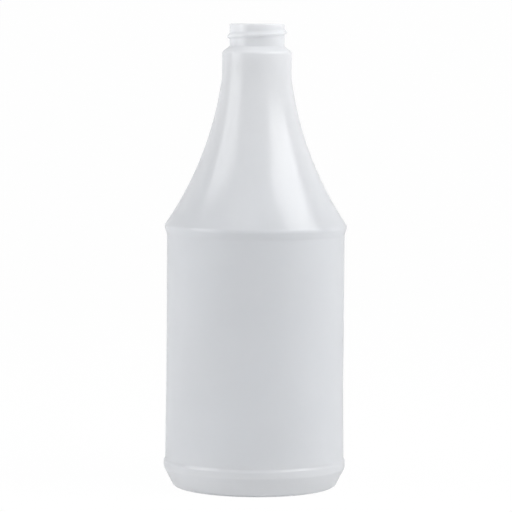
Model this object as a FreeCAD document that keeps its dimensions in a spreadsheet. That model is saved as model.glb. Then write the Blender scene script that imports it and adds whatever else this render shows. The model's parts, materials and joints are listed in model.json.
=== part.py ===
import FreeCAD, Part
import math
import os

import Sketcher

# A carafe-shaped trigger-spray bottle blown in one piece from natural polyethylene.
# Its neck is a 28-400 screw finish.
# Millimetres and degrees. The foot stands on z = 0 and the bottle's axis is +Z.
# The mould parts on the XZ plane, so the pinch-off under the base runs along X.

SIZES = (
    # name in the sheet, size, what it is
    ("overall_height", 212.0, "foot to mouth"),
    ("body_diameter", 83.5, "over the shoulder bead and the heel bead"),
    ("panel_recess", 1.0, "how far the label panel lies inside the beads"),
    ("panel_flare", 0.35, "how far the panel widens again towards the heel"),
    ("flare_length", 32.1, "height over which it widens"),
    ("shoulder_height", 120.2, "table to the top edge of the shoulder bead"),
    ("bead_land", 1.2, "straight part of the shoulder bead"),
    ("bead_flank", 3.3, "drop from the shoulder bead to the panel"),
    ("heel_flank", 1.1, "drop from the panel to the heel bead"),
    ("heel_land", 3.1, "straight part of the heel bead"),
    ("heel_height", 8.9, "table to the bottom edge of the heel bead"),
    ("heel_draw", 4.6, "how far the heel cone draws in below its bead"),
    ("foot_ring", 4.6, "width of the ring it stands on, before rounding"),
    ("push_up_draft", 2.4, "how far the side of the push-up leans in"),
    ("push_up_step", 2.0, "height of the side of the push-up"),
    ("dome_rise", 3.6, "rise of the dome inside the push-up"),
    ("neck_length", 11.2, "straight neck, from its foot to the ledge"),
    ("shoulder_angle", 7.2, "lean of the shoulder where it leaves the neck"),
    ("ledge_width", 3.35, "how far the neck stands out past the finish"),
    ("ledge_drop", 2.6, "height of the sloping ledge under the finish"),
    ("finish_height", 10.2, "H of the finish, ledge to mouth"),
    ("finish_diameter", 25.1, "E of the finish, over its wall"),
    ("finish_wall", 1.75, "wall of the finish, sized by the blow pin"),
    ("bore_runout", 1.0, "how far the straight bore goes on below the ledge"),
    ("thread_depth", 1.15, "(T - E) / 2 of the finish"),
    ("thread_crest", 1.04, "width of the thread at its crest"),
    ("thread_pitch", 4.233, "six threads to the inch"),
    ("thread_start", 2.4, "mouth down to the middle of the thread's upper end"),
    ("thread_turns", 1.0, "turns at full depth"),
    ("thread_azimuth", 137.0, "where the full depth begins and ends, from +X"),
    ("fade_angle", 28.0, "turn over which each end sinks into the wall"),
    ("load_flank", 10.0, "slope of the underside, which the cap pulls on"),
    ("free_flank", 45.0, "slope of the upper side"),
    ("body_wall", 0.85, "blown wall from the shoulder bead to the heel"),
    ("neck_wall", 1.3, "blown wall of the neck"),
    ("base_wall", 1.2, "wall of the base, where the parison is pinched"),
    ("pinch_margin", 4.0, "dome left bare past each end of the pinch-off"),
    ("pinch_width", 0.8, "width of the pinch-off line"),
    ("pinch_height", 0.45, "how far it stands out of the dome"),
    ("neck_sweep", 30.0, "radius between neck and shoulder"),
    ("neck_round", 2.0, "radius of the neck's top corner"),
    ("ledge_blend", 0.8, "radius between ledge and finish"),
    ("lip_round", 0.6, "radius of the outer lip"),
    ("shoulder_round", 2.0, "radius of the shoulder bead's top corner"),
    ("bead_round", 2.5, "radius at the bottom edge of each bead"),
    ("flank_round", 1.8, "radius at both ends of the heel bead's flank"),
    ("panel_blend", 3.0, "radius at the top of the panel"),
    ("heel_round", 3.0, "radius between heel cone and foot"),
    ("foot_round", 1.5, "radius at the inner edge of the foot"),
    ("push_up_blend", 2.0, "radius around the dome of the push-up"),
)

# Radii and heights that several corners share, as expressions of the sheet's sizes.
BODY = "Sizes.body_diameter / 2"
PANEL = f"{BODY} - Sizes.panel_recess"
PANEL_FOOT = f"{PANEL} + Sizes.panel_flare"
FINISH = "Sizes.finish_diameter / 2"
BORE = f"{FINISH} - Sizes.finish_wall"
NECK = f"{FINISH} + Sizes.ledge_width"
FOOT = f"{BODY} - Sizes.heel_draw"
FOOT_INSIDE = f"{FOOT} - Sizes.foot_ring"
DOME_EDGE = f"{FOOT_INSIDE} - Sizes.push_up_draft"
MOUTH_Z = "Sizes.overall_height"
LEDGE_Z = f"{MOUTH_Z} - Sizes.finish_height"
BORE_FOOT_Z = f"{LEDGE_Z} - Sizes.bore_runout"
NECK_TOP_Z = f"{LEDGE_Z} - Sizes.ledge_drop"
NECK_FOOT_Z = f"{NECK_TOP_Z} - Sizes.neck_length"
SHOULDER_Z = "Sizes.shoulder_height"
BEAD_Z = f"{SHOULDER_Z} - Sizes.bead_land"
PANEL_TOP_Z = f"{BEAD_Z} - Sizes.bead_flank"
HEEL_Z = "Sizes.heel_height"
HEEL_TOP_Z = f"{HEEL_Z} + Sizes.heel_land"
PANEL_FOOT_Z = f"{HEEL_TOP_Z} + Sizes.heel_flank"
FLARE_Z = f"{PANEL_FOOT_Z} + Sizes.flare_length"
DOME_Z = "Sizes.push_up_step + Sizes.dome_rise"
DOME_RADIUS = f"(({DOME_EDGE}) ^ 2 + Sizes.dome_rise ^ 2) / (2 * Sizes.dome_rise)"
AXIS = "0"
TABLE = "0"

# Corners of the half-section, from the axis at the mouth down to the axis at the base.
# Each has a name, a radius and a height.
OUTER_CORNERS = (
    ("mouth_centre", AXIS, MOUTH_Z),
    ("lip", FINISH, MOUTH_Z),
    ("ledge", FINISH, LEDGE_Z),
    ("neck_top", NECK, NECK_TOP_Z),
    ("neck_foot", NECK, NECK_FOOT_Z),
    ("shoulder", BODY, SHOULDER_Z),
    ("bead", BODY, BEAD_Z),
    ("panel_top", PANEL, PANEL_TOP_Z),
    ("flare", PANEL, FLARE_Z),
    ("panel_foot", PANEL_FOOT, PANEL_FOOT_Z),
    ("heel_top", BODY, HEEL_TOP_Z),
    ("heel", BODY, HEEL_Z),
    ("foot", FOOT, TABLE),
    ("foot_inside", FOOT_INSIDE, TABLE),
    ("dome_edge", DOME_EDGE, "Sizes.push_up_step"),
    ("dome_centre", AXIS, DOME_Z),
)

# The cavity has the same corners, each moved in by the wall there.
# The straight bore lies inside the finish.
INNER_CORNERS = (
    ("mouth_centre", AXIS, MOUTH_Z),
    ("lip", BORE, MOUTH_Z),
    ("ledge", BORE, BORE_FOOT_Z),
    ("neck_top", f"{NECK} - Sizes.neck_wall", f"{NECK_TOP_Z} - Sizes.neck_wall"),
    ("neck_foot", f"{NECK} - Sizes.neck_wall", NECK_FOOT_Z),
    ("shoulder", f"{BODY} - Sizes.body_wall", SHOULDER_Z),
    ("bead", f"{BODY} - Sizes.body_wall", BEAD_Z),
    ("panel_top", f"{PANEL} - Sizes.body_wall", PANEL_TOP_Z),
    ("flare", f"{PANEL} - Sizes.body_wall", FLARE_Z),
    ("panel_foot", f"{PANEL_FOOT} - Sizes.body_wall", PANEL_FOOT_Z),
    ("heel_top", f"{BODY} - Sizes.body_wall", HEEL_TOP_Z),
    ("heel", f"{BODY} - Sizes.body_wall", HEEL_Z),
    ("foot", f"{FOOT} - Sizes.body_wall", "Sizes.base_wall"),
    ("foot_inside", f"{FOOT_INSIDE} + Sizes.body_wall", "Sizes.base_wall"),
    ("dome_edge", f"{DOME_EDGE} + Sizes.body_wall", "Sizes.push_up_step + Sizes.base_wall"),
    ("dome_centre", AXIS, f"{DOME_Z} + Sizes.base_wall"),
)

# Rounded corners: the radius in the sheet, and the corners that have it.
OUTER_ROUNDS = (
    ("neck_sweep", ("neck_foot",)),
    ("neck_round", ("neck_top",)),
    ("ledge_blend", ("ledge",)),
    ("lip_round", ("lip",)),
    ("shoulder_round", ("shoulder",)),
    ("bead_round", ("bead", "heel")),
    ("flank_round", ("panel_foot", "heel_top")),
    ("panel_blend", ("panel_top",)),
    ("heel_round", ("foot",)),
    ("foot_round", ("foot_inside",)),
    ("push_up_blend", ("dome_edge",)),
)
INNER_ROUNDS = (
    ("neck_sweep", ("neck_foot",)),
    ("shoulder_round", ("shoulder",)),
)

# The thread's cross-section, and how far it drops over its full turn and over each end.
# It is rooted in the wall only so deep that an end, sunk to its full depth, stays out of the bore.
FULL_TURN = 360
THREAD_MIDDLE_Z = f"{MOUTH_Z} - Sizes.thread_start"
HALF_CREST = "Sizes.thread_crest / 2"
ROOT_DEPTH = "(Sizes.finish_wall - Sizes.thread_depth) / 3"
BEAD_DEPTH = f"(Sizes.thread_depth + {ROOT_DEPTH})"
FADE_TURNS = f"Sizes.fade_angle / {FULL_TURN}"
FULL_DROP = "Sizes.thread_pitch * Sizes.thread_turns"
FADE_DROP = f"Sizes.thread_pitch * {FADE_TURNS}"

CUBIC_MM_PER_LITRE = 1e6
GUIDE_LENGTH = 20.0
EDGE_TOLERANCE = 1e-4
AXIS_LINE = -2
TABLE_LINE = -1
ORIGIN = (-1, 1)
START = 1
END = 2
CENTRE = 3
UP = FreeCAD.Vector(0, 0, 1)

document = FreeCAD.newDocument("round_bottle")
sheet = document.addObject("Spreadsheet::Sheet", "Sizes")
for row, (alias, size, meaning) in enumerate(SIZES, start=1):
    sheet.set(f"A{row}", alias)
    sheet.set(f"B{row}", str(size))
    sheet.set(f"C{row}", meaning)
    sheet.setAlias(f"B{row}", alias)
document.recompute()

bottle = document.addObject("PartDesign::Body", "bottle")
bottle.Label = "bottle"
bottle.Placement = FreeCAD.Placement()
origin = {feature.Role: feature for feature in bottle.Origin.OriginFeatures}


def worked_out(expression):
    """The number that an expression of the sheet's sizes comes to."""
    found = sheet.evalExpression(expression)
    return float(getattr(found, "Value", found))


def half_plane_sketch(name, azimuth=None):
    """An empty sketch through the axis: x is the distance from the axis, y the height.

    It lies on the XZ plane, or is turned about the axis by the azimuth, an expression in degrees.
    """
    sketch = bottle.newObject("Sketcher::SketchObject", name)
    sketch.AttachmentSupport = [(origin["XZ_Plane"], "")]
    sketch.MapMode = "FlatFace"
    if azimuth is not None:
        turned = FreeCAD.Rotation(FreeCAD.Vector(0, 1, 0), worked_out(azimuth))
        sketch.AttachmentOffset = FreeCAD.Placement(FreeCAD.Vector(), turned)
        sketch.setExpression("AttachmentOffset.Rotation.Angle", azimuth)
    return sketch


def add_size(sketch, constraint, name, expression):
    """Adds a dimension to a sketch and ties it to the sheet."""
    index = sketch.addConstraint(constraint)
    sketch.renameConstraint(index, name)
    sketch.setExpression(f"Constraints.{name}", expression)


def place_start(sketch, curve, name, radius, height):
    """Dimensions the start of a curve from the axis and from the table."""
    point = sketch.getPoint(curve, START)
    if radius == AXIS:
        sketch.addConstraint(Sketcher.Constraint("PointOnObject", curve, START, AXIS_LINE))
    else:
        across = Sketcher.Constraint("DistanceX", *ORIGIN, curve, START, point.x)
        add_size(sketch, across, f"{name}_radius", radius)
    if height == TABLE:
        sketch.addConstraint(Sketcher.Constraint("PointOnObject", curve, START, TABLE_LINE))
    else:
        up = Sketcher.Constraint("DistanceY", *ORIGIN, curve, START, point.y)
        add_size(sketch, up, f"{name}_height", height)


def arc_centre(touched, direction, other):
    """Centre of the circle that runs through touched in this direction and passes through other."""
    normal = FreeCAD.Vector(-direction.y, direction.x, 0)
    chord = other - touched
    return touched + normal * (chord.dot(chord) / (2 * chord.dot(normal)))


def add_arc(sketch, start, end, centre):
    """Adds the arc that turns counter-clockwise from start to end about the centre."""
    first = start - centre
    last = end - centre
    circle = Part.Circle(centre, UP, first.Length)
    angles = [math.atan2(spoke.y, spoke.x) % (2 * math.pi) for spoke in (first, last)]
    return sketch.addGeometry(Part.ArcOfCircle(circle, *angles), False)


def outline(name, corners):
    """A closed sketch of a half-section through the given corners.

    Its sides are straight, apart from two arcs: the shoulder is hollow and leaves the neck at the shoulder
    angle, and the base is a dome that crosses the axis level.
    """
    sketch = half_plane_sketch(name)
    points = []
    for _, radius, height in corners:
        points.append(FreeCAD.Vector(worked_out(radius), worked_out(height), 0))
    lean = math.radians(worked_out("Sizes.shoulder_angle"))
    shoulder_down = FreeCAD.Vector(math.sin(lean), -math.cos(lean), 0)
    level = FreeCAD.Vector(1, 0, 0)
    curves = {}
    for (corner, _, _), start, end in zip(corners, points, points[1:] + points[:1]):
        if corner == "neck_foot":
            centre = arc_centre(start, shoulder_down, end)
            guide_end = start + shoulder_down * GUIDE_LENGTH
            guide = sketch.addGeometry(Part.LineSegment(start, guide_end), True)
        elif corner == "dome_edge":
            centre = arc_centre(end, level, start)
        else:
            curves[corner] = sketch.addGeometry(Part.LineSegment(start, end), False)
            continue
        curves[corner] = add_arc(sketch, start, end, centre)
    sides = list(curves.values())
    for before, after in zip(sides, sides[1:] + sides[:1]):
        sketch.addConstraint(Sketcher.Constraint("Coincident", before, END, after, START))
    for corner, radius, height in corners:
        place_start(sketch, curves[corner], corner, radius, height)
    sketch.addConstraint(Sketcher.Constraint("Tangent", guide, START, curves["neck_foot"], START))
    out = Sketcher.Constraint("DistanceX", guide, START, guide, END, shoulder_down.x * GUIDE_LENGTH)
    add_size(sketch, out, "guide_out", f"{GUIDE_LENGTH} * sin(Sizes.shoulder_angle)")
    fall = Sketcher.Constraint("DistanceY", guide, END, guide, START, -shoulder_down.y * GUIDE_LENGTH)
    add_size(sketch, fall, "guide_fall", f"{GUIDE_LENGTH} * cos(Sizes.shoulder_angle)")
    sketch.addConstraint(Sketcher.Constraint("PointOnObject", curves["dome_edge"], CENTRE, AXIS_LINE))
    document.recompute()
    return sketch


def turned(kind, name, sketch):
    """Turns a half-section all the way round the axis, as a Revolution or as a Groove."""
    feature = bottle.newObject(f"PartDesign::{kind}", name)
    feature.Profile = sketch
    feature.ReferenceAxis = (sketch, ["V_Axis"])
    feature.Angle = FULL_TURN
    document.recompute()
    return feature


def circle_at(shape, radius, height):
    """The name of the round edge of this radius at this height."""
    for number, edge in enumerate(shape.Edges, start=1):
        if edge.Degenerated or not isinstance(edge.Curve, Part.Circle):
            continue
        off_radius = abs(edge.Curve.Radius - radius)
        off_height = abs(edge.Curve.Center.z - height)
        if off_radius < EDGE_TOLERANCE and off_height < EDGE_TOLERANCE:
            return f"Edge{number}"
    raise ValueError(f"no edge of radius {radius} at height {height}")


def round_corners(side, rounds, corners):
    """Rounds the corners of one side of the wall, one fillet for each radius."""
    places = {name: (worked_out(radius), worked_out(height)) for name, radius, height in corners}
    for size, names in rounds:
        base = bottle.Tip
        edges = [circle_at(base.Shape, *places[name]) for name in names]
        fillet = bottle.newObject("PartDesign::Fillet", f"{side}_{size}")
        fillet.Base = (base, edges)
        fillet.Radius = worked_out(f"Sizes.{size}")
        fillet.setExpression("Radius", f"Sizes.{size}")
        document.recompute()


def thread_section(name, azimuth, middle, sunk):
    """The thread's cross-section, a trapezium whose crest is sunk this far below its full height."""
    sketch = half_plane_sketch(name, azimuth)
    crest = f"{FINISH} + Sizes.thread_depth - {sunk}"
    root = f"{FINISH} - {ROOT_DEPTH} - {sunk}"
    corners = (
        ("lower_root", root, f"{middle} - {HALF_CREST} - {BEAD_DEPTH} * tan(Sizes.load_flank)"),
        ("lower_crest", crest, f"{middle} - {HALF_CREST}"),
        ("upper_crest", crest, f"{middle} + {HALF_CREST}"),
        ("upper_root", root, f"{middle} + {HALF_CREST} + {BEAD_DEPTH} * tan(Sizes.free_flank)"),
    )
    points = []
    for _, radius, height in corners:
        points.append(FreeCAD.Vector(worked_out(radius), worked_out(height), 0))
    sides = []
    for start, end in zip(points, points[1:] + points[:1]):
        sides.append(sketch.addGeometry(Part.LineSegment(start, end), False))
    for side, following in zip(sides, sides[1:] + sides[:1]):
        sketch.addConstraint(Sketcher.Constraint("Coincident", side, END, following, START))
    for side, (corner, radius, height) in zip(sides, corners):
        place_start(sketch, side, corner, radius, height)
    document.recompute()
    return sketch


def wind(name, sketch, climb, turns, growth):
    """Winds a cross-section up round the axis, right-handed, which moves out by growth in a whole turn."""
    helix = bottle.newObject("PartDesign::AdditiveHelix", name)
    helix.Profile = sketch
    helix.ReferenceAxis = (origin["Z_Axis"], [""])
    helix.Mode = "height-turns-growth"
    for size, expression in (("Height", climb), ("Turns", turns), ("Growth", growth)):
        setattr(helix, size, worked_out(expression))
        helix.setExpression(size, expression)
    document.recompute()
    return helix


def add_thread():
    """One turn of thread, whose ends sink into the wall as they run out."""
    azimuth = "Sizes.thread_azimuth"
    low = f"{THREAD_MIDDLE_Z} - {FULL_DROP}"
    growth = f"{BEAD_DEPTH} / ({FADE_TURNS})"
    full = thread_section("thread_profile", azimuth, low, "0")
    wind("thread", full, FULL_DROP, "Sizes.thread_turns", "0")
    upper = thread_section("upper_end_profile", azimuth, THREAD_MIDDLE_Z, "0")
    wind("upper_end", upper, FADE_DROP, FADE_TURNS, f"-({growth})")
    before = f"{azimuth} - Sizes.fade_angle"
    lower = thread_section("lower_end_profile", before, f"{low} - {FADE_DROP}", BEAD_DEPTH)
    wind("lower_end", lower, FADE_DROP, FADE_TURNS, growth)


def add_pinch_off():
    """The line across the push-up where the mould pinched the parison: a low rib that follows the dome."""
    sketch = half_plane_sketch("pinch_off_side")
    half_length = f"{DOME_EDGE} - Sizes.pinch_margin"
    rib = f"{DOME_RADIUS} - Sizes.pinch_height"
    seat = f"{DOME_RADIUS} + Sizes.base_wall / 2"
    centre_depth = f"{DOME_RADIUS} - ({DOME_Z})"
    reach = worked_out(half_length)
    centre = FreeCAD.Vector(0, -worked_out(centre_depth), 0)
    corners = []
    for radius in (rib, seat):
        height = centre.y + math.sqrt(worked_out(radius) ** 2 - reach**2)
        corners.append((FreeCAD.Vector(reach, height, 0), FreeCAD.Vector(-reach, height, 0)))
    (rib_right, rib_left), (seat_right, seat_left) = corners
    rib_arc = add_arc(sketch, rib_right, rib_left, centre)
    seat_arc = add_arc(sketch, seat_right, seat_left, centre)
    right = sketch.addGeometry(Part.LineSegment(rib_right, seat_right), False)
    left = sketch.addGeometry(Part.LineSegment(rib_left, seat_left), False)
    for side, end in ((right, START), (left, END)):
        sketch.addConstraint(Sketcher.Constraint("Coincident", side, START, rib_arc, end))
        sketch.addConstraint(Sketcher.Constraint("Coincident", side, END, seat_arc, end))
        sketch.addConstraint(Sketcher.Constraint("Vertical", side))
    sketch.addConstraint(Sketcher.Constraint("Coincident", rib_arc, CENTRE, seat_arc, CENTRE))
    sketch.addConstraint(Sketcher.Constraint("PointOnObject", rib_arc, CENTRE, AXIS_LINE))
    below = Sketcher.Constraint("DistanceY", rib_arc, CENTRE, *ORIGIN, -centre.y)
    add_size(sketch, below, "dome_centre_depth", centre_depth)
    rib_size = Sketcher.Constraint("Radius", rib_arc, worked_out(rib))
    add_size(sketch, rib_size, "rib_radius", rib)
    seat_size = Sketcher.Constraint("Radius", seat_arc, worked_out(seat))
    add_size(sketch, seat_size, "seat_radius", seat)
    reach_right = Sketcher.Constraint("DistanceX", *ORIGIN, rib_arc, START, reach)
    add_size(sketch, reach_right, "reach_right", half_length)
    reach_left = Sketcher.Constraint("DistanceX", rib_arc, END, *ORIGIN, reach)
    add_size(sketch, reach_left, "reach_left", half_length)
    document.recompute()
    pad = bottle.newObject("PartDesign::Pad", "pinch_off")
    pad.Profile = sketch
    pad.SideType = "Symmetric"
    pad.Length = worked_out("Sizes.pinch_width")
    pad.setExpression("Length", "Sizes.pinch_width")
    document.recompute()


turned("Revolution", "outer_form", outline("outer_outline", OUTER_CORNERS))
round_corners("outer", OUTER_ROUNDS, OUTER_CORNERS)
filled = bottle.Shape.Volume
cavity = turned("Groove", "cavity", outline("inner_outline", INNER_CORNERS))
if cavity.Shape.Volume >= filled:
    raise ValueError("the cavity was not cut")
round_corners("inner", INNER_ROUNDS, INNER_CORNERS)
add_pinch_off()
add_thread()

for item in document.Objects:
    if "Invalid" in item.State or "Error" in item.State:
        raise ValueError(f"{item.Name}: {item.getStatusString()}")
if bottle.Shape.isNull() or not bottle.Shape.isValid() or len(bottle.Shape.Solids) != 1:
    raise ValueError("the bottle is not one valid solid")

os.makedirs("parts", exist_ok=True)
bottle.Shape.exportStep(f"parts/{bottle.Label}.step")
box = bottle.Shape.optimalBoundingBox()
litres = bottle.Shape.Volume / CUBIC_MM_PER_LITRE
extent = f"{box.XLength:.2f} x {box.YLength:.2f} x {box.ZLength:.2f} mm"
print(f"{bottle.Label}: {extent}, {litres:.4f} l of resin")
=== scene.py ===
# %% [markdown]
# # A blown bottle of natural polyethylene
# The object is one piece of plastic: a carafe-shaped bottle with an open screw neck, blown in a
# mould. Nothing on it is coloured or printed, so everything that the eye reads comes from three
# things: the outline, the thickness of the wall, and a waxy plastic that light soaks through.
# The lesson builds the wall as one turned surface, gives it the plastic, and lights it as a small
# studio would.

# %% Load the frame
import json
import math

import bpy
import numpy as np
from mathutils import Matrix, Vector


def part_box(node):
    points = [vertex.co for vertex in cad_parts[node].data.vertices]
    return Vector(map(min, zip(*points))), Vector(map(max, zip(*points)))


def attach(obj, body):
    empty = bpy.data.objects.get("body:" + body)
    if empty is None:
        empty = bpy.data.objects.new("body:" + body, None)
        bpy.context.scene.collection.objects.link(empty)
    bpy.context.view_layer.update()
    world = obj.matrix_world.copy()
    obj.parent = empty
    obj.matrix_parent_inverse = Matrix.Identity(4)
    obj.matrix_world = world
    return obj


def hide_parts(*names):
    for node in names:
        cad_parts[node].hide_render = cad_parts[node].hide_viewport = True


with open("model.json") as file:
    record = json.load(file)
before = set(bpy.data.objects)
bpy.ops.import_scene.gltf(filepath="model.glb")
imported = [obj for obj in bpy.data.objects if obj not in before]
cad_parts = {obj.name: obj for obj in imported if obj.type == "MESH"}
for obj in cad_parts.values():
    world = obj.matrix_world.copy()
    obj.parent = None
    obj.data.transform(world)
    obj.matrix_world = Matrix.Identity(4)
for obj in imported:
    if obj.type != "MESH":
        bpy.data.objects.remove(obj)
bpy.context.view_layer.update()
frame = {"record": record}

MM = 0.001

# %% [markdown]
# ## Sizes
# The frame holds the bottle as it was constructed, so the overall sizes are read from it instead
# of typed again. The mounts in its record carry the sizes that a cap maker would ask for: the bore,
# the thread's crest, and the height of the finish, the part of the neck that takes the cap.
# The other sizes are those of the drawing, in millimetres, because a half-section is easiest to
# read that way.

# %% Sizes of the bottle
low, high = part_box("bottle")
mounts = {mount["name"]: mount["dims"] for mount in frame["record"]["mounts"]}
HEIGHT = high.z / MM
BODY_R = (high.x - low.x) / 2 / MM
BORE_R = mounts["mouth_bore"]["r_mm"]
CREST_R = mounts["screw_finish"]["r_mm"]
FINISH_HEIGHT = mounts["screw_finish"]["length_mm"]
THREAD_DEPTH = 1.15
FINISH_R = CREST_R - THREAD_DEPTH
print(f"bottle {HEIGHT:.1f} mm tall, {2 * BODY_R:.1f} mm across, bore {2 * BORE_R:.1f} mm")

# %% [markdown]
# ## The half-section
# A blown bottle is round, so its shape is a line in a plane, turned about the axis.
# A maker draws that line as corners joined by straight runs and arcs, and then rounds each corner.
# The first two helpers below do the same: one bends a run into an arc that starts in a given
# direction, and the other cuts each corner back and puts a tangent arc in its place.
# The third adds points to long runs, because a detail such as the thread needs rows to stand on.
# A corner that turns by less than STRAIGHT, in radians, is left as it is.

# %% Helpers for the half-section
STRAIGHT = 1e-4


def bowed_run(start, end, heading, count):
    """Points of the circular arc from start to end that leaves start along heading.

    The centre lies on the normal at the start, at chord squared / (2 x chord across that normal).
    """
    start, end = np.array(start, float), np.array(end, float)
    heading = np.array(heading, float) / np.linalg.norm(heading)
    normal = np.array([-heading[1], heading[0]])
    chord = end - start
    centre = start + normal * chord.dot(chord) / (2 * chord.dot(normal))
    first, last = start - centre, end - centre
    turn = math.atan2(first[0] * last[1] - first[1] * last[0], first.dot(last))
    angle = np.linspace(0.0, turn, count + 1)
    cos, sin = np.cos(angle)[:, None], np.sin(angle)[:, None]
    return centre + cos * first + sin * np.array([-first[1], first[0]])


def rounded_line(corners, steps=6):
    """A line through (radius, height, rounding) corners, with a tangent arc for each inner one.

    For a corner that turns by an angle, the arc begins rounding x tan(angle / 2) before it.
    """
    points = np.array([corner[:2] for corner in corners], float)
    roundings = [corner[2] for corner in corners[1:-1]]
    line = [points[:1]]
    for before, corner, after, rounding in zip(points, points[1:], points[2:], roundings):
        into = (corner - before) / np.linalg.norm(corner - before)
        out = (after - corner) / np.linalg.norm(after - corner)
        turn = math.atan2(into[0] * out[1] - into[1] * out[0], into.dot(out))
        if rounding == 0.0 or abs(turn) < STRAIGHT:
            line.append(corner[None])
            continue
        reach = rounding * math.tan(abs(turn) / 2)
        line.append(bowed_run(corner - into * reach, corner + out * reach, into, steps))
    line.append(points[-1:])
    return np.concatenate(line)


def even_steps(line, spacing):
    """Adds points to the long runs of a line, so that no step is longer than spacing(height)."""
    dense = [line[:1]]
    for start, end in zip(line, line[1:]):
        length = np.linalg.norm(end - start)
        pieces = max(1, math.ceil(length / spacing((start[1] + end[1]) / 2)))
        share = np.linspace(0.0, 1.0, pieces + 1)[1:, None]
        dense.append(start + share * (end - start))
    return np.concatenate(dense)


quarter = bowed_run((1.0, 0.0), (0.0, 1.0), heading=(0.0, 1.0), count=4)
print("radii along a quarter arc", np.hypot(quarter[:, 0], quarter[:, 1]).round(6))

# %% [markdown]
# ## The outside and the inside
# The outside is what the mould gave it: a bearing ring and push-up underneath, the heel, a bead
# above and below the label panel, the hollow shoulder, a straight neck, and the ledge and wall of
# the screw finish.
# The inside is not a copy of it. The plastic swelled against the mould as a soft tube, so nearly
# every inner corner is rounder than the outer one, and the wall is thicker where the tube was
# stretched least: neck and base.

# %% Sizes of the drawing
LEDGE_Z = HEIGHT - FINISH_HEIGHT
NECK_R = FINISH_R + 3.35
NECK_TOP_Z = LEDGE_Z - 2.6
NECK_FOOT_Z = NECK_TOP_Z - 11.2
SHOULDER_Z = 120.2
BEAD_Z = SHOULDER_Z - 1.2
PANEL_TOP_Z = BEAD_Z - 3.3
FLARE_Z = 45.2
PANEL_R = BODY_R - 1.0
PANEL_FOOT_R = PANEL_R + 0.35
PANEL_FOOT_Z = 13.1
HEEL_TOP_Z = 12.0
HEEL_Z = 8.9
FOOT_R = BODY_R - 4.6
FOOT_INSIDE_R = FOOT_R - 4.6
DOME_R = FOOT_INSIDE_R - 2.4
PUSH_UP = 2.0
DOME_RISE = 3.6
RIM_R = BORE_R + 0.5
LIP_ROUNDING = 0.6
SHOULDER_LEAN = math.radians(7.2)
SHOULDER_HEADING = (math.sin(SHOULDER_LEAN), -math.cos(SHOULDER_LEAN))
print(f"finish above {LEDGE_Z:.1f} mm, neck to {NECK_FOOT_Z:.1f}, shoulder to {SHOULDER_Z:.1f}")


# %% Draw the outside: each corner is a radius, a height and a rounding
def arc_corners(start, end, heading, count):
    """The inner points of a bowed run as unrounded corners."""
    return [(r, z, 0.0) for r, z in bowed_run(start, end, heading, count)[1:-1]]


def dome_corners(edge_r, edge_z, rise, count):
    """The push-up's dome from its edge to the axis: a circle that crosses the axis level."""
    points = bowed_run((0.0, edge_z + rise), (edge_r, edge_z), (1.0, 0.0), count)
    return [(r, z, 0.0) for r, z in points[-2::-1]]


outside = [
    (RIM_R, HEIGHT, 0.0),
    (FINISH_R, HEIGHT, LIP_ROUNDING),
    (FINISH_R, LEDGE_Z, 0.8),
    (NECK_R, NECK_TOP_Z, 2.0),
    (NECK_R, NECK_FOOT_Z, 30.0),
    *arc_corners((NECK_R, NECK_FOOT_Z), (BODY_R, SHOULDER_Z), SHOULDER_HEADING, count=22),
    (BODY_R, SHOULDER_Z, 2.0),
    (BODY_R, BEAD_Z, 2.5),
    (PANEL_R, PANEL_TOP_Z, 3.0),
    (PANEL_R, FLARE_Z, 60.0),
    (PANEL_FOOT_R, PANEL_FOOT_Z, 1.8),
    (BODY_R, HEEL_TOP_Z, 1.8),
    (BODY_R, HEEL_Z, 2.5),
    (FOOT_R, 0.0, 3.0),
    (FOOT_INSIDE_R, 0.0, 1.5),
    (DOME_R, PUSH_UP, 2.0),
    *dome_corners(DOME_R, PUSH_UP, DOME_RISE, count=10),
]
print(f"{len(outside)} corners outside")

# %% Draw the inside, a wall's thickness away
BODY_WALL = 0.85
NECK_WALL = 1.3
BASE_WALL = 1.2
INNER_NECK_R = NECK_R - NECK_WALL
INNER_BODY_R = BODY_R - BODY_WALL
INNER_PANEL_R = PANEL_R - BODY_WALL
INNER_DOME_R = DOME_R + BODY_WALL
INNER_PUSH_UP = PUSH_UP + BASE_WALL
inside = [
    (RIM_R, HEIGHT, 0.0),
    (BORE_R, HEIGHT, 0.35),
    (BORE_R, LEDGE_Z - 1.0, 1.2),
    (INNER_NECK_R, NECK_TOP_Z - NECK_WALL - 1.0, 2.5),
    (INNER_NECK_R, NECK_FOOT_Z, 30.0),
    *arc_corners(
        (INNER_NECK_R, NECK_FOOT_Z), (INNER_BODY_R, SHOULDER_Z), SHOULDER_HEADING, count=16
    ),
    (INNER_BODY_R, SHOULDER_Z, 2.0),
    (INNER_BODY_R, BEAD_Z, 3.5),
    (INNER_PANEL_R, PANEL_TOP_Z, 4.5),
    (INNER_PANEL_R, FLARE_Z, 60.0),
    (PANEL_FOOT_R - BODY_WALL, PANEL_FOOT_Z, 2.2),
    (INNER_BODY_R, HEEL_TOP_Z, 2.2),
    (INNER_BODY_R, HEEL_Z, 4.0),
    (FOOT_R - BODY_WALL, BASE_WALL, 2.2),
    (FOOT_INSIDE_R + BODY_WALL, BASE_WALL, 1.2),
    (INNER_DOME_R, INNER_PUSH_UP, 3.0),
    *dome_corners(INNER_DOME_R, INNER_PUSH_UP, DOME_RISE, count=10),
]
print(f"{len(inside)} corners inside")

# %% Space the rows
FINISH_STEP = 0.125
FINISH_MARGIN = 0.3
BODY_STEP = 5.0
INSIDE_STEP = 12.0


def outer_spacing(height):
    """Rows lie close together over the thread, and a few millimetres apart elsewhere."""
    return FINISH_STEP if height > LEDGE_Z - FINISH_MARGIN else BODY_STEP


def inner_spacing(height):
    """The inside is smooth, so its rows lie further apart at every height."""
    return INSIDE_STEP


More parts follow.
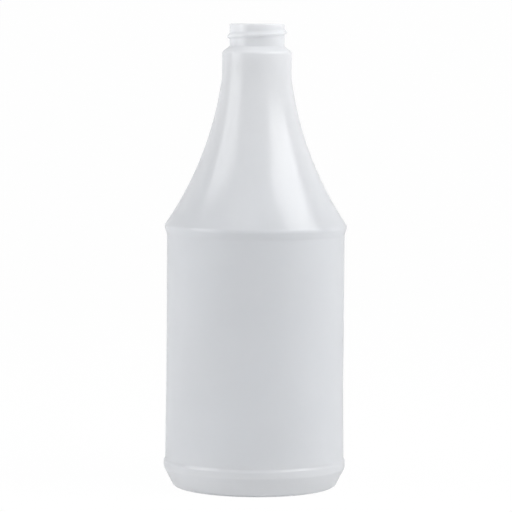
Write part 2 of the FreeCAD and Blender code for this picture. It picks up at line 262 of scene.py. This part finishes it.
outer_line = even_steps(rounded_line(outside), outer_spacing)
inner_line = even_steps(rounded_line(inside, steps=4), inner_spacing)
print(f"{len(outer_line)} rows outside, {len(inner_line)} rows inside")

# %% [markdown]
# ## The screw thread
# A thread on a blown neck is a bead that climbs one turn in a pitch and fades into the wall at
# both ends. A sweep along a helix would make a second surface that cuts into the wall. Here the
# thread is a height field: at each point of the wall, the height above or below the helix decides
# how far the wall stands out. It is one skin with the neck, as the plastic is.
# UNDERSIDE and UPPER_SIDE say where each side of the bead has its root and reaches its crest, as
# heights above the bead's middle. THREAD_TOP is how far the middle of its upper end lies below
# the mouth.

# %% Height of the thread over the wall
THREAD_PITCH = 4.233
THREAD_TOP = 2.4
THREAD_AZIMUTH = math.radians(137.0)
THREAD_FADE = math.radians(28.0)
UNDERSIDE = (-1.14, -0.09)
UPPER_SIDE = (1.87, 0.22)


def soft_step(x):
    """0 below 0, 1 above 1, and 3 x squared - 2 x cubed between."""
    x = np.clip(x, 0.0, 1.0)
    return x * x * (3.0 - 2.0 * x)


def thread_bead(above, strength):
    """Height of the bead at a distance above its middle: a steep underside and a sloping top.

    Each side is a soft step from the wall to the crest, and the height is their product, which
    rounds the crest and the root.
    """
    under, over = [
        soft_step((above - root) / (crest - root)) for root, crest in (UNDERSIDE, UPPER_SIDE)
    ]
    return THREAD_DEPTH * strength * under * over


def thread_height(azimuth, height):
    """The highest of the beads that pass this azimuth.

    The middle of the bead drops by pitch x turn / 2 pi, where turn counts down from its upper end.
    """
    total = np.zeros(np.broadcast(azimuth, height).shape)
    drop_per_turn = THREAD_PITCH / (2 * math.pi)
    for lap in (-1, 0, 1):
        turn = (THREAD_AZIMUTH - azimuth) % (2 * math.pi) + 2 * math.pi * lap
        middle = HEIGHT - THREAD_TOP - turn * drop_per_turn
        past_upper = -turn / THREAD_FADE
        past_lower = (turn - 2 * math.pi) / THREAD_FADE
        strength = 1.0 - soft_step(np.maximum(past_upper, past_lower))
        total = np.maximum(total, thread_bead(height - middle, strength))
    return total


print(f"thread {THREAD_DEPTH} mm high, rising {THREAD_PITCH} mm in a turn")

# %% [markdown]
# ## Marks of the mould
# Two half-moulds closed on a hanging tube of soft plastic. Where they met, a fine raised line runs
# up both sides and over the neck. Under the base, where they pinched the tube shut, a thicker scar
# lies in the dome.
# The blown wall is never perfect either: it wanders by up to about a tenth of a millimetre, which
# bends the highlights. The wander is a sum of waves. WAVES_AROUND says how often each one goes
# round the bottle, WAVE_LENGTHS is the range that its length along the height is drawn from, and
# WAVE_LEVEL says how soon the sum levels off.

# %% Heights of the marks and of the wander
PARTING_HEIGHT = 0.06
PARTING_WIDTH = 0.25
SCAR_HEIGHT = 0.45
SCAR_WIDTH = 0.45
SCAR_REACH = DOME_R - 4.0
WAVES_AROUND = (1, 2, 2, 3, 3, 4, 5)
WAVE_LENGTHS = (60.0, 160.0)
WAVE_LEVEL = 3.0


def parting_height(y):
    """A ridge on the plane y = 0: its height x e to the power of -(y / width) squared."""
    return PARTING_HEIGHT * np.exp(-((y / PARTING_WIDTH) ** 2))


def scar_height(x, y):
    """The pinch-off: the same bell across a line along X, and around that line's two ends."""
    beyond = np.maximum(np.abs(x) - SCAR_REACH, 0.0)
    return SCAR_HEIGHT * np.exp(-((np.hypot(y, beyond) / SCAR_WIDTH) ** 2))


def wander(azimuth, height, size, seed):
    """A slow drift of the wall, from 0 to size: size x (1 + tanh(sum of waves / level)) / 2.

    Each wave is a sine of the azimuth times a sine of the height, with drawn length and phases.
    """
    draw = np.random.default_rng(seed)
    total = np.zeros(np.broadcast(azimuth, height).shape)
    for around in WAVES_AROUND:
        wave = draw.uniform(*WAVE_LENGTHS)
        phase = draw.uniform(0.0, 2 * math.pi, 2)
        across = np.sin(around * azimuth + phase[0])
        total = total + across * np.sin(2 * math.pi * height / wave + phase[1])
    return size * (0.5 + 0.5 * np.tanh(total / WAVE_LEVEL))


print(f"parting line {PARTING_HEIGHT} mm high, pinch-off {SCAR_HEIGHT} mm high")

# %% [markdown]
# ## Turn the wall
# The grid has the half-section's points down one side and azimuths along the other, and every
# vertex is worked out at once. The azimuths crowd together near the parting plane, because its
# marks are narrow there.
# Each row moves along the outward normal of the half-section, and the rows at the axis shrink to
# one point. The whole side sinks by the height of the parting line, so that the line's own crest
# stays on the drawn outline. The side begins a little above the table, which keeps the bearing ring
# flat. The wander fades out towards the finish, where the blow pin sized the neck.

# %% Helpers that turn a line into a surface
AROUND = 288
CROWDING = 0.85


def crowded_azimuths(count):
    """Angles t - c x sin(2 t) / 2, which step finely near 0 and 180 degrees."""
    turn = np.linspace(0.0, 2 * math.pi, count, endpoint=False)
    return turn - CROWDING / 2 * np.sin(2 * turn)


def line_normals(line):
    """Unit normals of a line that runs down the wall: its direction, turned left by 90 degrees."""
    along = np.gradient(line, axis=0)
    normal = np.stack([-along[:, 1], along[:, 0]], axis=1)
    return normal / np.linalg.norm(normal, axis=1, keepdims=True)


azimuth = crowded_azimuths(AROUND)[None, :]
ring = np.stack([np.cos(azimuth), np.sin(azimuth)], axis=-1)
azimuth_steps = np.degrees(np.diff(azimuth))


def turned(line, lift):
    """Turns a line about the axis, after it is lifted by an array of heights along its normal."""
    normal = line_normals(line)
    radius = line[:, 0, None] + lift * normal[:, 0, None]
    height = line[:, 1, None] + lift * normal[:, 1, None]
    return np.concatenate([radius[..., None] * ring, height[..., None]], axis=-1)


print(f"azimuths {azimuth_steps.min():.2f} to {azimuth_steps.max():.2f} degrees apart")

# %% Work out the outside
FOOT_LEVEL = 0.5
SIDE_START = 1.0
SIDE_FADE = 3.0
SCAR_EDGE_R = DOME_R - 1.0
WANDER_FADE = 10.0
r, z = outer_line[:, 0, None], outer_line[:, 1, None]
x, y = r * np.cos(azimuth), r * np.sin(azimuth)
rows = np.arange(len(outer_line))[:, None]
lip_end = int(np.argmax(outer_line[:, 1] < HEIGHT - LIP_ROUNDING))
foot_start = int(np.argmax(outer_line[:, 1] < FOOT_LEVEL))
under_base = rows > foot_start
in_dome = (r < SCAR_EDGE_R) * under_base
on_finish = (z > LEDGE_Z) & (rows >= lip_end)
on_side = soft_step((z - SIDE_START) / SIDE_FADE) * (rows >= lip_end) * ~under_base
below_finish = soft_step((LEDGE_Z - z) / WANDER_FADE)
lift = thread_height(azimuth, z) * on_finish
lift = lift + parting_height(y) * on_side
lift = lift + scar_height(x, y) * in_dome
lift = lift - wander(azimuth, z, size=0.10, seed=3) * on_side * below_finish
lift = lift - PARTING_HEIGHT * on_side
outer_grid = turned(outer_line, lift)
print(f"outside {outer_grid.shape}, lifted by {lift.min():.2f} to {lift.max():.2f} mm")

# %% Work out the inside
INNER_WANDER_TOP = LEDGE_Z - 4.0
inner_z = inner_line[:, 1, None]
below_neck_top = soft_step((INNER_WANDER_TOP - inner_z) / WANDER_FADE)
drift = wander(azimuth, inner_z, size=0.16, seed=8) * below_neck_top
inner_grid = turned(inner_line, -drift)
print(f"inside {inner_grid.shape}, drifting inwards by up to {drift.max():.2f} mm")

# %% [markdown]
# ## One closed skin
# The mouth is where both sides begin, so they share their first row. Both end on the axis, each in
# one vertex. Faces join each row with the next, and the row's last point with its first, so no seam
# is left open.
# An attribute goes with the mesh. It is 0 where the plastic stayed thick, in the finish and the
# neck, and rises to 1 where the wall was blown out furthest. Towards the base it falls to 0 again:
# partly for the thicker base plastic, and partly as painted light, which pales the heel where it
# faces the floor and lies in shade.


# %% Join both sides into the bottle's wall
def quads(upper, lower, flip):
    """Faces between two rows of vertex numbers, closed around; flip turns them to face inwards."""
    upper_next, lower_next = np.roll(upper, -1, axis=-1), np.roll(lower, -1, axis=-1)
    outward = (upper, lower, lower_next, upper_next)
    inward = (upper, upper_next, lower_next, lower)
    return np.stack(inward if flip else outward, axis=-1).reshape(-1, 4)


def fan(row, pole, flip):
    """Triangles from a row of vertex numbers to one pole; flip turns them the other way."""
    following = np.roll(row, -1)
    tip = np.full_like(row, pole)
    return np.stack((row, following, tip) if flip else (following, row, tip), axis=-1)


outer_count, inner_count = len(outer_line) - 1, len(inner_line) - 2
outer_ids = np.arange(outer_count * AROUND).reshape(outer_count, AROUND)
inner_ids = outer_ids.size + np.arange(inner_count * AROUND).reshape(inner_count, AROUND)
inner_ids = np.concatenate([outer_ids[:1], inner_ids])
outer_pole = outer_ids.size + inner_count * AROUND
inner_pole = outer_pole + 1
vertices = np.concatenate([
    outer_grid[:-1].reshape(-1, 3),
    inner_grid[1:-1].reshape(-1, 3),
    [[0.0, 0.0, outer_grid[-1, 0, 2]], [0.0, 0.0, inner_grid[-1, 0, 2]]],
]) * MM
faces = [
    quads(outer_ids[:-1], outer_ids[1:], False).tolist(),
    quads(inner_ids[:-1], inner_ids[1:], True).tolist(),
    fan(outer_ids[-1], outer_pole, False).tolist(),
    fan(inner_ids[-1], inner_pole, True).tolist(),
]
mesh = bpy.data.meshes.new("bottle_wall")
mesh.from_pydata(vertices, [], [face for part in faces for face in part])
mesh.update()
mesh.shade_smooth()
wall = bpy.data.objects.new("bottle_wall", mesh)
bpy.context.scene.collection.objects.link(wall)
triangles = sum(len(polygon.vertices) - 2 for polygon in mesh.polygons)
print(f"{len(mesh.vertices)} vertices, {triangles} triangles")

# %% Write down how far the plastic was stretched, with painted light at the heel
PALE_BASE_HEIGHT = 22.0
radius = np.hypot(vertices[:, 0], vertices[:, 1]) / MM
blown_out = np.clip((radius - NECK_R) / (BODY_R - NECK_R), 0.0, 1.0)
# Falling to 0 at the base: thicker plastic there, and painted light that pales the shaded heel.
above_pale_base = soft_step(vertices[:, 2] / MM / PALE_BASE_HEIGHT)
stretch_and_heel_lift = mesh.attributes.new("stretch_and_heel_lift", "FLOAT", "POINT")
stretch_and_heel_lift.data.foreach_set("value", blown_out * above_pale_base)
print(f"stretch {(blown_out * above_pale_base).mean():.2f} on average")

# %% [markdown]
# ## Natural polyethylene
# Without pigment this plastic is milky: crystals in it scatter light, so some of it comes back, and
# some soaks through and glows on the far side of the wall. The surface is waxy, with a broad, soft
# shine.
# A Principled shader stands for the skin. Its subsurface scattering spreads the light by about two
# millimetres, which softens the shades in the thread and along the ledge. A Translucent shader is
# mixed in for the light that comes through from behind. An attribute leads from the whiter tint of
# the thick plastic to the greyer tint of the thin wall. Near the base the whiter tint is partly
# painted light, which pales the heel where it faces the floor and lies in shade. Faint clouds and a
# very fine grain break the shine.

# %% Tints and finish of the plastic
# Whiter tint of the thick plastic; on the heel it is also painted light against the heel's shade.
THICK_AND_HEEL_TINT = (0.826, 0.834, 0.849, 1.0)
THIN_TINTS = ((0.777, 0.794, 0.824, 1.0), (0.797, 0.813, 0.842, 1.0))
CLOUD_ENDS = (0.3, 0.7)
CLOUD_SCALE = 45.0
GLOW_TINT = (0.885, 0.900, 0.920, 1.0)
GLOW_SHARE = 0.35
SCATTER_DEPTH = 2.0 * MM
PLASTIC_IOR = 1.5
SHINE_ROUGHNESS = (0.20, 0.25)
GRAIN_SCALE = 1400.0
GRAIN_STRENGTH = 0.25
GRAIN_DEPTH = 0.03 * MM
print(f"scattering {SCATTER_DEPTH / MM:.0f} mm deep, {GLOW_SHARE:.0%} lit from behind")


# %% Helpers for the material
def add_node(tree, kind, **settings):
    """Adds a shader node and sets its properties, or its sockets when the name is a socket's."""
    node = tree.nodes.new(kind)
    for name, value in settings.items():
        if name in node.inputs:
            node.inputs[name].default_value = value
        else:
            setattr(node, name, value)
    return node


def empty_material(name):
    """A new material and its output node, which is all that its node tree holds."""
    material = bpy.data.materials.new(name)
    material.use_nodes = True
    material.node_tree.nodes.clear()
    return material, add_node(material.node_tree, "ShaderNodeOutputMaterial")


def milky_plastic(name):
    """Natural polyethylene: soft gloss over a milky body, part of which is lit from behind."""
    material, output = empty_material(name)
    tree = material.node_tree
    link = tree.links.new
    place = add_node(tree, "ShaderNodeTexCoord")
    clouds = add_node(tree, "ShaderNodeTexNoise", Scale=CLOUD_SCALE, Detail=3.0, Roughness=0.55)
    link(place.outputs["Object"], clouds.inputs["Vector"])
    thin = add_node(tree, "ShaderNodeValToRGB")
    for element, position, colour in zip(thin.color_ramp.elements, CLOUD_ENDS, THIN_TINTS):
        element.position = position
        element.color = colour
    link(clouds.outputs["Fac"], thin.inputs["Fac"])
    # Paler towards the base: thicker plastic there, and painted light on the shaded heel.
    stretch_and_lift_input = add_node(tree, "ShaderNodeAttribute", attribute_name="stretch_and_heel_lift")
    tint = add_node(tree, "ShaderNodeMix", data_type="RGBA")
    tint.inputs["A"].default_value = THICK_AND_HEEL_TINT
    link(stretch_and_lift_input.outputs["Fac"], tint.inputs["Factor"])
    link(thin.outputs["Color"], tint.inputs["B"])
    grain = add_node(tree, "ShaderNodeTexNoise", Scale=GRAIN_SCALE, Detail=2.0)
    link(place.outputs["Object"], grain.inputs["Vector"])
    bump = add_node(tree, "ShaderNodeBump", Strength=GRAIN_STRENGTH, Distance=GRAIN_DEPTH)
    link(grain.outputs["Fac"], bump.inputs["Height"])
    shine = add_node(tree, "ShaderNodeMapRange")
    shine.inputs["To Min"].default_value = SHINE_ROUGHNESS[0]
    shine.inputs["To Max"].default_value = SHINE_ROUGHNESS[1]
    link(clouds.outputs["Fac"], shine.inputs["Value"])
    skin = add_node(tree, "ShaderNodeBsdfPrincipled", IOR=PLASTIC_IOR)
    skin.inputs["Subsurface Weight"].default_value = 1.0
    skin.inputs["Subsurface Radius"].default_value = (1.0, 1.0, 1.0)
    skin.inputs["Subsurface Scale"].default_value = SCATTER_DEPTH
    link(tint.outputs["Result"], skin.inputs["Base Color"])
    link(shine.outputs["Result"], skin.inputs["Roughness"])
    link(bump.outputs["Normal"], skin.inputs["Normal"])
    glow = add_node(tree, "ShaderNodeBsdfTranslucent", Color=GLOW_TINT)
    mix = add_node(tree, "ShaderNodeMixShader", Fac=GLOW_SHARE)
    link(skin.outputs["BSDF"], mix.inputs[1])
    link(glow.outputs["BSDF"], mix.inputs[2])
    link(mix.outputs["Shader"], output.inputs["Surface"])
    return material


# %% Give the bottle its plastic
polyethylene = milky_plastic("natural_polyethylene")
mesh.materials.append(polyethylene)
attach(wall, "root")
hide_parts("bottle")
print(f"{wall.name} is made of {polyethylene.name}, {len(polyethylene.node_tree.nodes)} nodes")

# %% [markdown]
# ## The studio
# A plain white sweep: a floor that runs up into a backdrop. The camera sees it as white, and so do
# mirrored rays and rays that came through a wall. That is a trick of the material, because light
# strong enough to make it white would burn out the bottle. The bottle is lit by three soft boxes:
# a broad one high on the right, a nearly square one lower on the left, and a weak one almost
# overhead. The room adds a weak even light.
# The back of the sheet is clear, so that a view from under the floor still shows the base.

# %% Floor and backdrop
UNDER_FOOT = 0.1 * MM
BEND_ROWS = 24
PAPER = (0.93, 0.93, 0.93, 1.0)
WHITE = (1.0, 1.0, 1.0, 1.0)
WHITE_SHARE = 0.98


def white_sweep(name, half_width, front, back, top, curve):
    """A sheet along X whose section runs back along the floor and curves up into a wall.

    The bend is a quarter of a circle of radius curve, which touches the floor and the wall.
    """
    angle = np.linspace(-math.pi / 2, 0.0, BEND_ROWS)
    bend = np.stack([back - curve + curve * np.cos(angle), curve + curve * np.sin(angle)], axis=1)
    section = np.concatenate([[[front, 0.0]], bend, [[back, top]]]) - np.array([0.0, UNDER_FOOT])
    grid = np.empty((len(section), 2, 3))
    grid[..., 0] = np.array([-half_width, half_width])
    grid[..., 1:] = section[:, None]
    ids = np.arange(len(section) * 2).reshape(-1, 2)
    loop = (ids[:-1, 0], ids[:-1, 1], ids[1:, 1], ids[1:, 0])
    sheet = bpy.data.meshes.new(name)
    sheet.from_pydata(grid.reshape(-1, 3), [], np.stack(loop, axis=-1).tolist())
    sheet.update()
    sheet.shade_smooth()
    sweep = bpy.data.objects.new(name, sheet)
    bpy.context.scene.collection.objects.link(sweep)
    return sweep


def paper_white(name):
    """White paper that looks evenly white from the front and is clear from behind.

    Camera, mirrored and transmitted rays see share x white + (1 - share) x paper, which keeps a
    trace of the shadows. Diffuse rays see the paper alone.
    """
    material, output = empty_material(name)
    tree = material.node_tree
    link = tree.links.new
    paper = add_node(tree, "ShaderNodeBsdfDiffuse", Color=PAPER)
    bright = add_node(tree, "ShaderNodeEmission", Color=WHITE, Strength=1.0)
    seen = add_node(tree, "ShaderNodeLightPath")
    straight = add_node(tree, "ShaderNodeMath", operation="MAXIMUM")
    link(seen.outputs["Is Camera Ray"], straight.inputs[0])
    link(seen.outputs["Is Transmission Ray"], straight.inputs[1])
    mirrored = add_node(tree, "ShaderNodeMath", operation="MAXIMUM")
    link(straight.outputs["Value"], mirrored.inputs[0])
    link(seen.outputs["Is Glossy Ray"], mirrored.inputs[1])
    share = add_node(tree, "ShaderNodeMath", operation="MULTIPLY")
    share.inputs[1].default_value = WHITE_SHARE
    link(mirrored.outputs["Value"], share.inputs[0])
    front = add_node(tree, "ShaderNodeMixShader")
    link(share.outputs["Value"], front.inputs["Fac"])
    link(paper.outputs["BSDF"], front.inputs[1])
    link(bright.outputs["Emission"], front.inputs[2])
    side = add_node(tree, "ShaderNodeNewGeometry")
    clear = add_node(tree, "ShaderNodeBsdfTransparent")
    sheet = add_node(tree, "ShaderNodeMixShader")
    link(side.outputs["Backfacing"], sheet.inputs["Fac"])
    link(front.outputs["Shader"], sheet.inputs[1])
    link(clear.outputs["BSDF"], sheet.inputs[2])
    link(sheet.outputs["Shader"], output.inputs["Surface"])
    return material


floor = white_sweep("floor", half_width=3.0, front=-3.0, back=1.6, top=2.6, curve=0.6)
floor.data.materials.append(paper_white("white_paper"))
print(f"floor {floor.dimensions.x:.1f} m wide and {floor.dimensions.y:.1f} m deep")

# %% Lamps and room light
LAMP_DISTANCE = 1.3
ROOM_LIGHT = 0.18


def soft_box(name, turn_deg, rise_deg, width, height, power):
    """A rectangular lamp that faces the bottle's middle; its light falls along its own -Z.

    It stands turn_deg from the camera's side, positive to the right, and rise_deg above level.
    """
    turn, rise = math.radians(turn_deg), math.radians(rise_deg)
    target = Vector((0.0, 0.0, HEIGHT * MM / 2))
    across, towards = math.sin(turn) * math.cos(rise), -math.cos(turn) * math.cos(rise)
    direction = Vector((across, towards, math.sin(rise)))
    data = bpy.data.lights.new(name, "AREA")
    data.shape = "RECTANGLE"
    data.size = width
    data.size_y = height
    data.energy = power
    lamp = bpy.data.objects.new(name, data)
    lamp.location = target + direction * LAMP_DISTANCE
    lamp.rotation_euler = (-direction).to_track_quat("-Z", "Y").to_euler()
    bpy.context.scene.collection.objects.link(lamp)
    return lamp


lamps = [
    soft_box("key_box", turn_deg=66.5, rise_deg=38.5, width=1.12, height=0.74, power=16.8),
    soft_box("left_box", turn_deg=-73.0, rise_deg=21.5, width=0.96, height=0.92, power=11.6),
    soft_box("top_box", turn_deg=-30.0, rise_deg=74.0, width=0.80, height=0.80, power=2.3),
]
world = bpy.data.worlds.new("room")
world.use_nodes = True
world.node_tree.nodes["Background"].inputs["Color"].default_value = WHITE
world.node_tree.nodes["Background"].inputs["Strength"].default_value = ROOM_LIGHT
bpy.context.scene.world = world
print(f"{len(lamps)} soft boxes, {sum(lamp.data.energy for lamp in lamps):.1f} W together")

# %% [markdown]
# ## The camera
# The bottle is seen almost level from a good distance with a long lens, so its sides look straight,
# and the mouth and the foot open only into thin ellipses. The camera leans over by less than half a
# degree. Lens and sensor are in millimetres, the tilts in radians, and the shift is a share of the
# frame's width.

# %% Camera
SENSOR = 36.0
LENS = 203.6953125
CAMERA_DISTANCE = 1.3237
CAMERA_HEIGHT = 0.206
PITCH = 0.0755
ROLL = 0.0066
FRAME_SHIFT = 0.00068359375
camera_data = bpy.data.cameras.new("camera")
camera_data.sensor_width = SENSOR
camera_data.lens = LENS
camera_data.shift_x = FRAME_SHIFT
camera = bpy.data.objects.new("camera", camera_data)
bpy.context.scene.collection.objects.link(camera)
forward = Vector((0.0, math.cos(PITCH), -math.sin(PITCH)))
level_up = Vector((0.0, math.sin(PITCH), math.cos(PITCH)))
level_right = Vector((1.0, 0.0, 0.0))
right = level_right * math.cos(ROLL) + level_up * math.sin(ROLL)
up = level_up * math.cos(ROLL) - level_right * math.sin(ROLL)
facing = Matrix((right, up, -forward)).transposed().to_4x4()
camera.matrix_world = Matrix.Translation((0.0, -CAMERA_DISTANCE, CAMERA_HEIGHT)) @ facing
bpy.context.scene.camera = camera
bpy.context.scene.view_settings.view_transform = "Standard"
print(f"camera {CAMERA_DISTANCE:.2f} m away, looking down by {math.degrees(PITCH):.1f} degrees")
